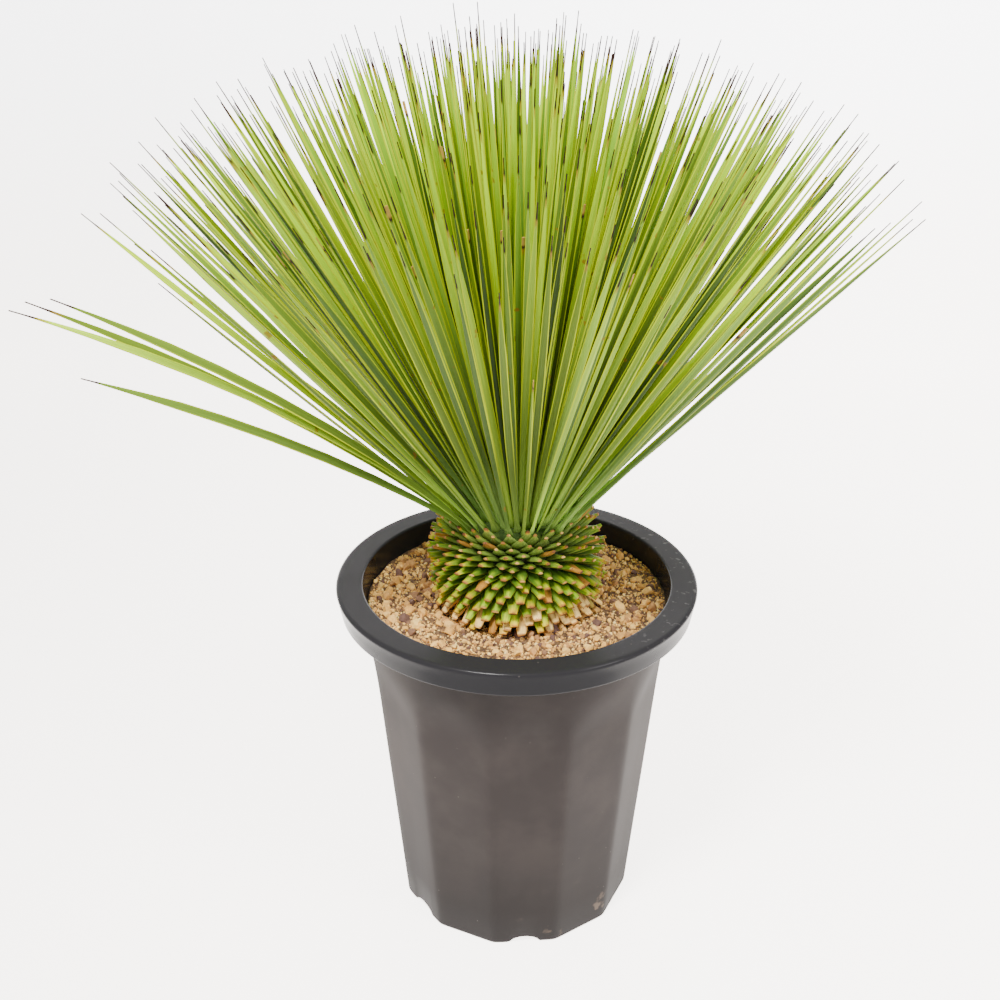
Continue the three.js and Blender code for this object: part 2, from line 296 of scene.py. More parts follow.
def pot_profile():
    """Half the pot's section: under the floor, round the foot ring, up outside, over the
    rim, and down inside to the floor."""
    foot_inner = wall_radius(0) - FOOT_RING_WIDTH + WALL
    skirt_bottom = POT_HEIGHT - RIM_SKIRT_HEIGHT
    flange_under = POT_HEIGHT - WALL - 1 * MM
    heights = (3, 40, 120, 200, 232, 240, 246, 252, 258, 264, 270, 276, 282, 288, 305, 330)
    body = [(round_radius(z * MM), z * MM) for z in heights]
    rim_centre = (RIM_RADIUS - RIM_ROUNDING, POT_HEIGHT - RIM_ROUNDING)
    rim_edge = corner_arc(rim_centre, RIM_ROUNDING, start=-8, end=90, count=8)
    skirt_slope = (RIM_RADIUS - RIM_SKIRT_RADIUS) / (RIM_SKIRT_HEIGHT - 2 * MM)
    skirt = [(RIM_SKIRT_RADIUS + z * MM * skirt_slope, skirt_bottom + z * MM) for z in (1, 2, 11, 19)]
    lip_centre = (RIM_INNER_RADIUS + LIP_ROUNDING, POT_HEIGHT - LIP_ROUNDING)
    lip_edge = corner_arc(lip_centre, LIP_ROUNDING, start=90, end=180, count=6)
    return [
        (0.0, FLOOR_BOTTOM), (DRAIN_CIRCLE * 0.4, FLOOR_BOTTOM), (DRAIN_CIRCLE * 1.4, FLOOR_BOTTOM),
        (foot_inner, FLOOR_BOTTOM), (foot_inner, 1 * MM), (foot_inner + 1 * MM, 0.0),
        (round_radius(0) - 2 * MM, 0.0), (round_radius(0) - 0.6 * MM, 0.6 * MM),
        *body, (round_radius(flange_under), flange_under), (RIM_RADIUS - WALL - 1 * MM, flange_under),
        (RIM_SKIRT_RADIUS - WALL + 0.3 * MM, skirt_bottom + 1 * MM),
        (RIM_SKIRT_RADIUS - WALL + 1 * MM, skirt_bottom), (RIM_SKIRT_RADIUS - 1 * MM, skirt_bottom),
        *skirt, *rim_edge, (RIM_RADIUS - 5 * MM, POT_HEIGHT),
        (RIM_INNER_RADIUS + 3.2 * MM, POT_HEIGHT), *lip_edge,
        (RIM_INNER_RADIUS, POT_HEIGHT - 4 * MM),
        *[(wall_radius(z), z) for z in (SOIL_LEVEL, ROUND_FROM, 270 * MM, 256 * MM, FACET_TOP, FLOOR_TOP)],
        (0.0, FLOOR_TOP),
    ]


def notch_rise(azimuth, radius):
    """Height of a notch's round roof above the ground, at this place on the foot ring."""
    offs = [(azimuth - POT_TURN - side * FACET + math.pi) % (2 * math.pi) - math.pi for side in NOTCHED_SIDES]
    off = min(offs, key=abs)
    share = abs(off) * radius / (NOTCH_WIDTH / 2)
    return NOTCH_HEIGHT * math.sqrt(max(0.0, 1 - share * share))


def over_notch(azimuth, radius, z):
    """The height of a point of the foot ring, lifted where a notch passes under it."""
    if z >= FLOOR_BOTTOM - 1 * MM or radius <= NOTCHED_FROM:
        return z
    rise = notch_rise(azimuth, radius)
    roof = rise if z < 2 * MM else 0.0
    return max(z, roof, z + rise * 0.75)


def make_pot():
    """The pot's one shell, turned from its section, with flats, soft corners and notches."""
    profile = pot_profile()
    points = []
    for r, z in profile[1:-1]:
        for step in range(POT_STEPS):
            azimuth = 2 * math.pi * step / POT_STEPS
            on_body = z < ROUND_FROM + 5 * MM and r > round_radius(z) - 2.5 * MM
            radius = r * facet_scale(azimuth, z) if on_body else r
            height = over_notch(azimuth, r, z)
            points.append((radius * math.sin(azimuth), -radius * math.cos(azimuth), height))
    rows = len(profile) - 2
    faces = []
    for row in range(rows - 1):
        for step in range(POT_STEPS):
            a = row * POT_STEPS + step
            b = row * POT_STEPS + (step + 1) % POT_STEPS
            faces.append((a, b, b + POT_STEPS, a + POT_STEPS))
    low, high = len(points), len(points) + 1
    points += [(0.0, 0.0, profile[0][1]), (0.0, 0.0, profile[-1][1])]
    last = (rows - 1) * POT_STEPS
    for step in range(POT_STEPS):
        after = (step + 1) % POT_STEPS
        faces.append((low, after, step))
        faces.append((high, last + step, last + after))
    return make_mesh("pot_shell", points, faces)


def cut_drains(pot):
    """The six round drain holes go straight through the floor."""
    cutter_mesh = bmesh.new()
    for hole in range(DRAIN_COUNT + 1):
        turn = POT_TURN + hole * 2 * math.pi / DRAIN_COUNT
        reach = DRAIN_CIRCLE if hole < DRAIN_COUNT else 0.0
        made = bmesh.ops.create_cone(cutter_mesh, cap_ends=True, segments=24, radius1=DRAIN_RADIUS,
                                     radius2=DRAIN_RADIUS, depth=4 * WALL)
        offset = (reach * math.sin(turn), -reach * math.cos(turn), (FLOOR_BOTTOM + FLOOR_TOP) / 2)
        bmesh.ops.translate(cutter_mesh, verts=made["verts"], vec=offset)
    mesh = bpy.data.meshes.new("drain_cutter")
    cutter_mesh.to_mesh(mesh)
    cutter_mesh.free()
    cutter = bpy.data.objects.new("drain_cutter", mesh)
    bpy.context.collection.objects.link(cutter)
    cut = pot.modifiers.new("drains", "BOOLEAN")
    cut.operation = "DIFFERENCE"
    cut.object = cutter
    apply_modifiers(pot)
    bpy.data.objects.remove(cutter)


def apply_modifiers(thing):
    graph = bpy.context.evaluated_depsgraph_get()
    baked = bpy.data.meshes.new_from_object(thing.evaluated_get(graph))
    thing.modifiers.clear()
    thing.data = baked


def new_group(name, inputs, outputs):
    """An empty shader group with float inputs (name, default) and outputs (name, kind)."""
    group = bpy.data.node_groups.new(name, "ShaderNodeTree")
    for label, default in inputs:
        socket = group.interface.new_socket(label, in_out="INPUT", socket_type="NodeSocketFloat")
        socket.default_value = default
    for label, kind in outputs:
        group.interface.new_socket(label, in_out="OUTPUT", socket_type=kind)
    start = group.nodes.new("NodeGroupInput")
    end = group.nodes.new("NodeGroupOutput")
    return group, start, end


def build_uneven_tone_group():
    """Uneven tone at two sizes: a patchy value about 0.5 and a finer one for bumps."""
    group, start, end = new_group("uneven_tone", [("Patch Scale", 20.0), ("Grain Scale", 400.0)],
                                  [("Patches", "NodeSocketFloat"), ("Grain", "NodeSocketFloat")])
    nodes = Nodes(group)
    patches = nodes.noise(start.outputs["Patch Scale"], 4.0)
    grain = nodes.noise(start.outputs["Grain Scale"], 2.0)
    group.links.new(patches, end.inputs["Patches"])
    group.links.new(grain, end.inputs["Grain"])
    return group


def build_speck_group():
    """Small scattered round specks as a mask, with how many of the cells carry one."""
    group, start, end = new_group("specks", [("Scale", 200.0), ("Size", 0.2), ("Share", 0.2)],
                                  [("Mask", "NodeSocketFloat")])
    nodes = Nodes(group)
    where = nodes.place()
    cell = group.nodes.new("ShaderNodeTexVoronoi")
    group.links.new(where, cell.inputs["Vector"])
    group.links.new(start.outputs["Scale"], cell.inputs["Scale"])
    near = nodes.math("LESS_THAN", cell.outputs["Distance"], start.outputs["Size"])
    tint = group.nodes.new("ShaderNodeSeparateColor")
    group.links.new(cell.outputs["Color"], tint.inputs[0])
    chosen = nodes.math("LESS_THAN", tint.outputs[0], start.outputs["Share"])
    group.links.new(nodes.times(near, chosen), end.inputs["Mask"])
    return group


UNEVEN_TONE = build_uneven_tone_group()
SPECKS = build_speck_group()


def uneven_tone(nodes, patch_scale, grain_scale):
    """The patches and the grain of the uneven-tone group, at these scales."""
    scales = {"Patch_Scale": patch_scale, "Grain_Scale": grain_scale}
    return [nodes.group(UNEVEN_TONE, output, **scales) for output in ("Patches", "Grain")]


def finish_material(nodes, shader, base, height, strength, depth, roughness=None):
    """Links the colour, the bumps and, where it varies, the roughness."""
    nodes.tree.links.new(base, shader.inputs["Base Color"])
    if roughness is not None:
        nodes.tree.links.new(roughness, shader.inputs["Roughness"])
    normal = nodes.add("ShaderNodeBump", Height=height, Strength=strength, Distance=depth)
    nodes.tree.links.new(normal, shader.inputs["Normal"])


def pot_plastic():
    """Charcoal plastic: half gloss, dusty in patches, darker low down as painted shade, glossier
    and scuffed on the rim, with a little dried mud by the foot."""
    material, shader, nodes = new_material("pot_plastic")
    shader.inputs["Specular IOR Level"].default_value = 0.1
    patches, grain = uneven_tone(nodes, patch_scale=14.0, grain_scale=900.0)
    right, _, height = nodes.axes()
    base = nodes.mix(nodes.band(patches, 0.35, 0.7), PLASTIC, PLASTIC_DUSTY)
    # Painted shade: the plastic is darker towards the floor.
    base = nodes.mix(nodes.band(height, 0.20, -0.03), base, PLASTIC_SHADED_LOW)
    rim = nodes.band(height, 0.308, 0.318)
    base = nodes.mix(rim, base, PLASTIC_RIM)
    specks = nodes.group(SPECKS, "Mask", Scale=190.0, Size=0.10, Share=0.05)
    base = nodes.mix(nodes.times(specks, 0.26), base, DUST_SPECK)
    mud = nodes.times(nodes.band(height, 0.075, 0.01), nodes.band(nodes.noise(55.0, 5.0), 0.60, 0.70))
    mud = nodes.times(mud, nodes.band(right, -0.01, 0.06))
    base = nodes.mix(nodes.times(mud, 0.55), base, DRIED_MUD)
    scuff = nodes.times(nodes.band(nodes.noise(170.0, 6.0), 0.60, 0.70), nodes.band(right, 0.06, 0.15))
    scuff = nodes.times(scuff, nodes.band(height, 0.325, 0.345))
    base = nodes.mix(nodes.times(scuff, 0.16), base, SCUFFED)
    roughness = nodes.math("SUBTRACT", nodes.remap(patches, 0.44, 0.62), nodes.times(rim, 0.34))
    finish_material(nodes, shader, base, grain, strength=0.06, depth=0.4 * MM, roughness=roughness)
    return material


pot = make_pot()
cut_drains(pot)
pot.data.materials.clear()
pot.data.materials.append(pot_plastic())
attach(pot, "root")
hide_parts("pot")


# ---- Soil -----------------------------------------------------------------------------
# Loose mineral mix: crushed pumice and fired clay in tan, cream and brown, with a few
# larger lumps and dark stones. A bed holds the shape, and the loose grains lie on it.

SOIL_WALL_RADIUS = wall_radius(SOIL_LEVEL)
SOIL_RELIEF = 2.4 * MM
BED_DEPTH = 12 * MM
BED_INNER_RADIUS = 40 * MM
BED_RINGS = 42
BED_STEPS = 160
BED_ROUGHNESS = 1.0 * MM
STEM_RADIUS = 60 * MM
STONE_KINDS = 9
STONE_CUTS = 10
FINE_GRAINS = 8600
FINE_SIZES = (1.7 * MM, 4.8 * MM)
LUMPS = 840
LUMP_SIZES = (4.6 * MM, 13.5 * MM)
FINE_REACH = 6 * MM                     # the highest tops, above the soil's level
LUMP_REACH = 10 * MM
CREAM = colour(1.0, 0.77, 0.31)
SAND = colour(0.94, 0.58, 0.17)
TAN = colour(0.76, 0.41, 0.10)
CLAY = colour(0.50, 0.25, 0.08)
STONE = colour(0.15, 0.08, 0.06)
DUST_SHADED_DARK = colour(0.07, 0.036, 0.016)
DUST_SHADED_PALE = colour(0.24, 0.135, 0.06)


def draw(i, salt):
    """A repeatable draw between 0 and 1 for item i and purpose salt."""
    value = math.sin(i * 12.9898 + salt * 78.233) * 43758.5453
    return value - math.floor(value)


def bed_height(radius, azimuth):
    """Small bumps on slow mounds, and a dip round the trunk."""
    bump = math.sin(radius / MM * 0.83 + 3 * math.sin(azimuth * 7))
    bump *= math.cos(azimuth * 19 + radius / MM * 0.31)
    near_trunk = 1 - smoothstep(STEM_RADIUS, STEM_RADIUS + 35 * MM, radius)
    mound = 1.5 * MM * math.sin(azimuth * 2 + 1.1) * math.cos(radius * 42)
    return SOIL_LEVEL - 1.2 * MM + 0.5 * SOIL_RELIEF * bump + mound - 3 * MM * near_trunk


def make_bed():
    """The bed of soil that the loose grains lie on, closed underneath."""
    rings = np.linspace(BED_INNER_RADIUS, SOIL_WALL_RADIUS - 0.3 * MM, BED_RINGS)
    points = []
    for radius in rings:
        for step in range(BED_STEPS):
            azimuth = 2 * math.pi * step / BED_STEPS
            height = bed_height(radius, azimuth) + BED_ROUGHNESS * (draw(len(points), 31) - 0.5)
            points.append((radius * math.sin(azimuth), radius * math.cos(azimuth), height))
    faces = []
    for ring in range(len(rings) - 1):
        for step in range(BED_STEPS):
            a = ring * BED_STEPS + step
            b = ring * BED_STEPS + (step + 1) % BED_STEPS
            faces.append((a, a + BED_STEPS, b + BED_STEPS, b))
    top = len(points)
    for radius in (rings[-1] - 9 * MM, rings[0]):
        for step in range(BED_STEPS):
            azimuth = 2 * math.pi * step / BED_STEPS
            points.append((radius * math.sin(azimuth), radius * math.cos(azimuth), SOIL_LEVEL - BED_DEPTH))
    outer = (len(rings) - 1) * BED_STEPS
    for step in range(BED_STEPS):
        after = (step + 1) % BED_STEPS
        faces.append((outer + step, top + step, top + after, outer + after))
        faces.append((top + step, top + BED_STEPS + step, top + BED_STEPS + after, top + after))
        faces.append((top + BED_STEPS + step, step, after, top + BED_STEPS + after))
    return make_mesh("soil_bed", points, faces)


def rough_stone(subdivisions, seed):
    """A unit lump with flattened, knocked-off sides."""
    ball = bmesh.new()
    bmesh.ops.create_icosphere(ball, subdivisions=subdivisions, radius=1.0)
    points = np.array([v.co[:] for v in ball.verts])
    faces = np.array([[v.index for v in f.verts] for f in ball.faces])
    ball.free()
    rng = np.random.default_rng(seed)
    for _ in range(STONE_CUTS):
        normal = rng.normal(size=3)
        normal /= np.linalg.norm(normal)
        depth = rng.uniform(0.5, 0.85)
        beyond = np.maximum(points @ normal - depth, 0.0)
        points = points - np.outer(beyond, normal)
    points *= rng.uniform(0.9, 1.1, size=(len(points), 1))
    return points, faces


def scatter_grains(name, count, sizes, subdivisions, seed, highest, palest):
    """Grains lying on the bed between the trunk and the wall, more of them small than
    large, in one mesh with a tone each."""
    smallest, largest = sizes
    rng = np.random.default_rng(seed)
    kinds = [rough_stone(subdivisions, seed + k) for k in range(STONE_KINDS)]
    all_points, all_faces, tones = [], [], []
    offset = 0
    for grain in range(count):
        size = smallest * (largest / smallest) ** (rng.uniform() ** 2.0) / 2
        reach = SOIL_WALL_RADIUS - size * 1.15 - 0.6 * MM
        inner = STEM_RADIUS - 2 * MM
        radius = math.sqrt(inner ** 2 + (reach ** 2 - inner ** 2) * rng.uniform())
        azimuth = rng.uniform(0, 2 * math.pi)
        points, faces = kinds[grain % len(kinds)]
        turn = np.linalg.qr(rng.normal(size=(3, 3)))[0]
        if np.linalg.det(turn) < 0:
            turn[:, 0] *= -1
        shape = (points * rng.uniform(0.7, 1.15, size=3)) @ turn.T * size
        sunk = rng.uniform(-0.2, 0.6) * size
        height = min(bed_height(radius, azimuth) + sunk, SOIL_LEVEL + highest - size)
        centre = np.array((radius * math.sin(azimuth), radius * math.cos(azimuth), height))
        all_points.append(shape + centre)
        all_faces.append(faces + offset)
        tones.append(np.full(len(points), rng.uniform(palest, 1.0)))
        offset += len(points)
    thing = make_mesh(name, np.concatenate(all_points), np.concatenate(all_faces), smooth=False)
    add_values(thing, "tone", np.concatenate(tones))
    return thing


def add_values(thing, name, values):
    layer = thing.data.attributes.new(name, "FLOAT", "POINT")
    layer.data.foreach_set("value", np.asarray(values, dtype=np.float32))


def ramp(nodes, value, stops):
    """A colour ramp from (place, colour) pairs."""
    node = nodes.tree.nodes.new("ShaderNodeValToRGB")
    nodes.tree.links.new(value, node.inputs[0])
    band = node.color_ramp
    while len(band.elements) < len(stops):
        band.elements.new(0.5)
    for element, (place, tint) in zip(band.elements, stops):
        element.position = place
        element.color = tint
    return node.outputs[0]


def shaded(nodes, base, shade):
    """The colour made darker or lighter by shade, and the same where shade is 1."""
    grey = nodes.add("ShaderNodeCombineColor", i0=shade, i1=shade, i2=shade)
    return nodes.mix(1.0, base, grey, "MULTIPLY")


def grain_material():
    """Each grain has its own tone, from cream pumice through tan clay to dark stone."""
    material, shader, nodes = new_material("soil_grains", roughness=0.92)
    tone = nodes.attribute("tone")
    base = ramp(nodes, tone, [(0.0, CREAM), (0.28, SAND), (0.56, TAN), (0.80, CLAY), (0.93, STONE)])
    patches, grain = uneven_tone(nodes, patch_scale=420.0, grain_scale=1500.0)
    base = shaded(nodes, base, nodes.remap(patches, 0.60, 1.36))
    finish_material(nodes, shader, base, grain, strength=0.5, depth=0.6 * MM)
    return material


def bed_material():
    """Fine dust and crumbs between the grains, in darker and paler patches, coloured dark as
    painted shade for the gaps between the grains.
    """
    material, shader, nodes = new_material("soil_dust_and_shade", roughness=0.95)
    patches, grain = uneven_tone(nodes, patch_scale=260.0, grain_scale=1100.0)
    # Painted shade: the dust is coloured dark for the shade in the gaps between the grains.
    base = nodes.mix(nodes.band(patches, 0.3, 0.7), DUST_SHADED_DARK, DUST_SHADED_PALE)
    finish_material(nodes, shader, base, grain, strength=0.8, depth=1.2 * MM)
    return material


soil_bed = make_bed()
soil_bed.data.materials.append(bed_material())
GRAIN_FINISH = grain_material()
fine_grains = scatter_grains("soil_fine_grains", FINE_GRAINS, FINE_SIZES, subdivisions=1, seed=11,
                             highest=FINE_REACH, palest=0.0)
lumps = scatter_grains("soil_lumps", LUMPS, LUMP_SIZES, subdivisions=2, seed=12,
                       highest=LUMP_REACH, palest=0.25)
for grains in (fine_grains, lumps):
    grains.data.materials.append(GRAIN_FINISH)
for part in (soil_bed, fine_grains, lumps):
    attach(part, "root")
    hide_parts("soil")


# ---- Trunk ----------------------------------------------------------------------------
# A short thick stem hidden by the bases of the leaves that were trimmed off it. They sit
# in spirals: dry and hanging at the soil, then level, then green and rising to the crown,
# each a thick strap, broad at the stem, with a rounded top and a pale cut end.

STEM_TOP_RADIUS = 54 * MM
STEM_SHOULDER_Z = 369 * MM
TRUNK_TOP = 399.5 * MM
STUB_COUNT = 430
STUB_LENGTH = 23 * MM
STUB_WIDTH = 12.0 * MM
STUB_THICKNESS = 3.8 * MM
STUB_FIRST_Z = 335 * MM
STUB_LAST_Z = 404 * MM
STUB_LOWEST_TILT = -54                  # degrees: hanging at the soil
STUB_TILT_GAIN = 107                    # degrees from there up to the crown's
SOIL_CLEARANCE = 2.5 * MM
GOLDEN_ANGLE = math.pi * (3 - math.sqrt(5))
BARK = (colour(0.014, 0.022, 0.005), colour(0.05, 0.045, 0.014))
# Pairs of colours run from one end of a leaf base's own tone to the other.
# The first pair is painted shade where the straps crowd at the stem, and the third a painted highlight along
# their rounded tops.
SHADED_STEM_GREEN = (colour(0.028, 0.080, 0.006), colour(0.110, 0.195, 0.014))
SIDE_GREEN = (colour(0.105, 0.220, 0.004), colour(0.250, 0.360, 0.005))
HIGHLIGHT_YELLOW = (colour(0.22, 0.36, 0.001), colour(0.52, 0.50, 0.001))
STRAW = (colour(0.90, 0.64, 0.22), colour(0.60, 0.33, 0.06))
YOUNG_GREEN = colour(0.250, 0.325, 0.075)
AMBER = colour(0.66, 0.34, 0.006)
THIN_EDGE = colour(0.46, 0.38, 0.05)
STRAW_LINE = colour(0.34, 0.16, 0.05)
SCORCHED = colour(0.44, 0.18, 0.03)
CUT_RIM = colour(0.30, 0.10, 0.025)
CUT_TONES = [(0.0, colour(0.72, 0.46, 0.12)), (0.35, colour(0.54, 0.27, 0.05)),
             (0.60, colour(0.32, 0.12, 0.02)), (1.0, colour(0.12, 0.04, 0.010))]
CUT_BROWN = colour(0.28, 0.10, 0.025)


def outward(azimuth):
    """Azimuth 0 is the back (+Y) and grows towards +X."""
    return np.array((math.sin(azimuth), math.cos(azimuth), 0.0))


UP = np.array((0.0, 0.0, 1.0))


def stem_radius(z):
    """The stem is straight up to its shoulder and then rounds in to the crown."""
    inward = min(1.0, max(0.0, z - STEM_SHOULDER_Z) / (TRUNK_TOP - STEM_SHOULDER_Z))
    return STEM_RADIUS - (STEM_RADIUS - STEM_TOP_RADIUS) * inward ** 1.5


def stub_shape(i):
    """Where leaf base i sits, how it tilts and how large it is, by how far up it is."""
    rise = (i + 0.5) / STUB_COUNT
    z = STUB_FIRST_Z + (STUB_LAST_Z - STUB_FIRST_Z) * rise
    length = STUB_LENGTH * (0.88 + 0.22 * draw(i, 23)) * (1 - 0.30 * rise ** 2)
    own_tilt = (draw(i, 21) - 0.5) * (13 - 6 * rise)
    tilt = math.radians(STUB_LOWEST_TILT + STUB_TILT_GAIN * rise ** 0.97 + own_tilt)
    lowest = -math.asin(min(1.0, (z - SOIL_LEVEL - SOIL_CLEARANCE) / length))
    return {
        "azimuth": i * GOLDEN_ANGLE + (draw(i, 22) - 0.5) * 0.06,
        "z": z,
        "tilt": max(lowest, tilt),
        "length": length,
        "width": STUB_WIDTH * (0.88 + 0.22 * draw(i, 24)),
        "narrowing": 1 - 0.45 * smoothstep(0.3, 0.8, rise),
        "age": rise,
    }


# The cross-section of a strap, from edge to edge over the rounded top and back below: how
# far across, and how far up as a share of the thickness. Then the stations along it: how
# far out, how wide and how thick as shares.
STUB_SECTION = [(-1.0, -0.12), (-0.82, 0.18), (-0.45, 0.42), (0.0, 0.50), (0.45, 0.42), (0.82, 0.18),
                (1.0, -0.12), (0.6, -0.30), (0.0, -0.36), (-0.6, -0.30)]
STUB_STATIONS = [(-0.30, 1.10, 1.6), (0.0, 1.15, 1.5), (0.25, 1.12, 1.35), (0.45, 1.0, 1.15),
                 (0.62, 0.84, 1.0), (0.80, 0.69, 0.86), (0.93, 0.61, 0.76), (1.0, 0.58, 0.68)]


def strap_faces(first, stations, count, turned=False):
    """The sides of a strap from station to station, then its far end and its near end, and
    the other way round where its section runs the other way."""
    faces = []
    for station in range(stations - 1):
        for k in range(count):
            a = first + station * count + k
            b = first + station * count + (k + 1) % count
            faces.append((a, b, b + count, a + count) if turned else (a, a + count, b + count, b))
    far = tuple(range(first + (stations - 1) * count, first + stations * count))
    near = tuple(range(first, first + count))
    return faces + ([far, near[::-1]] if turned else [far[::-1], near])


def make_stubs():
    """All the leaf bases in one mesh, with the cut ends in a material of their own."""
    points, faces, slots = [], [], []
    values = {"along": [], "across": [], "tone": [], "age": []}
    for i in range(STUB_COUNT):
        stub = stub_shape(i)
        out = outward(stub["azimuth"])
        across = np.array((math.cos(stub["azimuth"]), -math.sin(stub["azimuth"]), 0.0))
        along = out * math.cos(stub["tilt"]) + UP * math.sin(stub["tilt"])
        above = UP * math.cos(stub["tilt"]) - out * math.sin(stub["tilt"])
        start = out * stem_radius(stub["z"]) + UP * stub["z"]
        curl = (draw(i, 25) - 0.35) * 0.10
        lean = (draw(i, 26) - 0.5) * 0.16
        slant = (draw(i, 27) - 0.5) * 0.5
        strap = strap_faces(len(points), len(STUB_STATIONS), len(STUB_SECTION))
        for s, wide, thick in STUB_STATIONS:
            narrowed = wide * (1 + (stub["narrowing"] - 1) * smoothstep(0.2, 0.9, s))
            for a, h in STUB_SECTION:
                dry = 1 + 0.25 * (1 - stub["age"]) ** 3 * (draw(len(points), 28) - 0.5)
                reach = s + (slant * a * 0.12 if s == 1.0 else 0.0)
                side = a * narrowed * dry * stub["width"] / 2 + lean * max(s, 0) * stub["length"]
                lift = h * thick * dry * STUB_THICKNESS + curl * max(s, 0) ** 2 * stub["length"]
                points.append(start + along * reach * stub["length"] + across * side + above * lift)
                for label, value in zip(values, (s, a, draw(i, 29), stub["age"])):
                    values[label].append(value)
        faces += strap
        slots += [0] * (len(strap) - 2) + [1, 0]
    stubs = make_mesh("leaf_base_stubs", points, faces)
    stubs.data.polygons.foreach_set("material_index", slots)
    for label, data in values.items():
        add_values(stubs, label, data)
    return stubs


def make_turned(name, profile, steps, wave=lambda row, azimuth: 1.0):
    """A closed body round the Z axis from (radius, height) pairs in millimetres, from
    bottom to top with both ends on the axis. wave varies the radius."""
    points = [(0.0, 0.0, profile[0][1] * MM), (0.0, 0.0, profile[-1][1] * MM)]
    rows = profile[1:-1]
    for row, (radius, z) in enumerate(rows):
        for step in range(steps):
            azimuth = 2 * math.pi * step / steps
            reach = radius * wave(row, azimuth) * MM
            points.append((reach * math.sin(azimuth), reach * math.cos(azimuth), z * MM))
    faces = []
    for step in range(steps):
        after = (step + 1) % steps
        faces.append((0, 2 + step, 2 + after))
        for row in range(len(rows) - 1):
            a, b = 2 + row * steps + step, 2 + row * steps + after
            faces.append((a, a + steps, b + steps, b))
        top = 2 + (len(rows) - 1) * steps
        faces.append((1, top + after, top + step))
    return make_mesh(name, points, faces)


def make_stem():
    """The stem under the stubs, and its stump inside the soil."""
    lower = [(0.0, 241), (37, 241), (46, 270), (55, 298), (58.5, 320)]
    upper = [(stem_radius(z * MM) / MM - 1, z) for z in (345, 369, 376, 384, 392, 399)]
    return make_turned("stem", lower + upper + [(0.0, 399)], 96,
                       lambda row, azimuth: 1 + 0.012 * math.sin(azimuth * 13 + row * 2.4))


def streaks(nodes, along, across, tone, fineness):
    """Fine uneven lines that run along a strap, different on each one."""
    lane = nodes.math("ADD", nodes.times(across, fineness), nodes.times(tone, 67.0))
    where = nodes.add("ShaderNodeCombineXYZ", i0=lane, i1=nodes.times(along, 2.5), i2=0.0)
    return nodes.noise(1.0, 3.0, vector=where)


def stub_side_material():
    """Strap sides: dark green at the stem and the edges as painted shade, and a yellow-green
    centre towards the cut as a painted highlight on the rounded top; the cut has a brown rim.
    The lowest straps are dry straw, and a few above too."""
    material, shader, nodes = new_material("leaf_base_sides", roughness=0.62)
    shader.inputs["Specular IOR Level"].default_value = 0.2
    age, along, tone, across = [nodes.attribute(name) for name in ("age", "along", "tone", "across")]
    patches = uneven_tone(nodes, patch_scale=90.0, grain_scale=700.0)[0]
    line = streaks(nodes, along, across, tone, 3.0)
    off_middle = nodes.math("ABSOLUTE", across)
    outer = nodes.band(along, 0.40, 0.95)
    upper = nodes.band(age, 0.50, 0.95)
    # Painted shade: the sides darken towards the stem.
    sides = nodes.mix(outer, nodes.mix(tone, *SHADED_STEM_GREEN), nodes.mix(tone, *SIDE_GREEN))
    # Painted highlight: a yellow stripe down the centre of each strap, for light on its rounded top.
    middle = nodes.times(nodes.band(off_middle, 0.66, 0.12), outer)
    middle = nodes.times(middle, nodes.math("SUBTRACT", 1.0, nodes.times(upper, 0.6)))
    green = nodes.mix(middle, sides, nodes.mix(tone, *HIGHLIGHT_YELLOW))
    green = nodes.mix(nodes.times(upper, 0.55), green, YOUNG_GREEN)
    amber = nodes.times(nodes.band(along, 0.72, 0.95), nodes.band(tone, 0.35, 0.8))
    green = nodes.mix(nodes.times(amber, 0.7), green, AMBER)
    lower = nodes.band(nodes.math("SUBTRACT", 1.0, upper), 0.2, 0.9)
    edge = nodes.times(nodes.band(off_middle, 0.88, 0.98), lower)
    green = nodes.mix(nodes.times(edge, 0.4), green, THIN_EDGE)
    straw = nodes.mix(nodes.band(line, 0.52, 0.68), nodes.mix(tone, *STRAW), STRAW_LINE)
    older = nodes.math("ADD", age, nodes.times(nodes.math("SUBTRACT", tone, 0.5), 0.30))
    base = nodes.mix(nodes.band(older, 0.13, 0.07), green, straw)
    scorched = nodes.times(nodes.band(tone, 0.925, 0.935), nodes.band(along, 0.1, 0.5))
    base = nodes.mix(nodes.times(scorched, 0.9), base, SCORCHED)
    rim = nodes.times(nodes.band(along, 0.90, 0.97), nodes.band(nodes.noise(140.0), 0.38, 0.52))
    base = nodes.mix(nodes.times(rim, 0.85), base, CUT_RIM)
    own = nodes.math("FRACT", nodes.times(tone, 19.7))
    base = shaded(nodes, base, nodes.times(nodes.remap(line, 0.35, 1.95), nodes.remap(own, 0.65, 1.3)))
    finish_material(nodes, shader, base, patches, strength=0.25, depth=0.6 * MM)
    return material


def stub_cut_material():
    """The cut ends: fibrous flesh, pale on most and browned on some, with darker patches."""
    material, shader, nodes = new_material("leaf_base_cuts", roughness=0.8)
    patches, grain = uneven_tone(nodes, patch_scale=250.0, grain_scale=1600.0)
    base = ramp(nodes, nodes.attribute("tone"), CUT_TONES)
    base = nodes.mix(nodes.band(patches, 0.50, 0.70), base, CUT_BROWN)
    finish_material(nodes, shader, base, grain, strength=0.6, depth=0.6 * MM)
    return material


def stem_material(name, dark, light):
    """Rough bark, brown between the stubs and green on the new growth round the crown."""
    material, shader, nodes = new_material(name, roughness=0.9)
    patches, grain = uneven_tone(nodes, patch_scale=120.0, grain_scale=900.0)
    base = nodes.mix(nodes.band(patches, 0.3, 0.7), dark, light)
    finish_material(nodes, shader, base, grain, strength=0.7, depth=1.0 * MM)
    return material


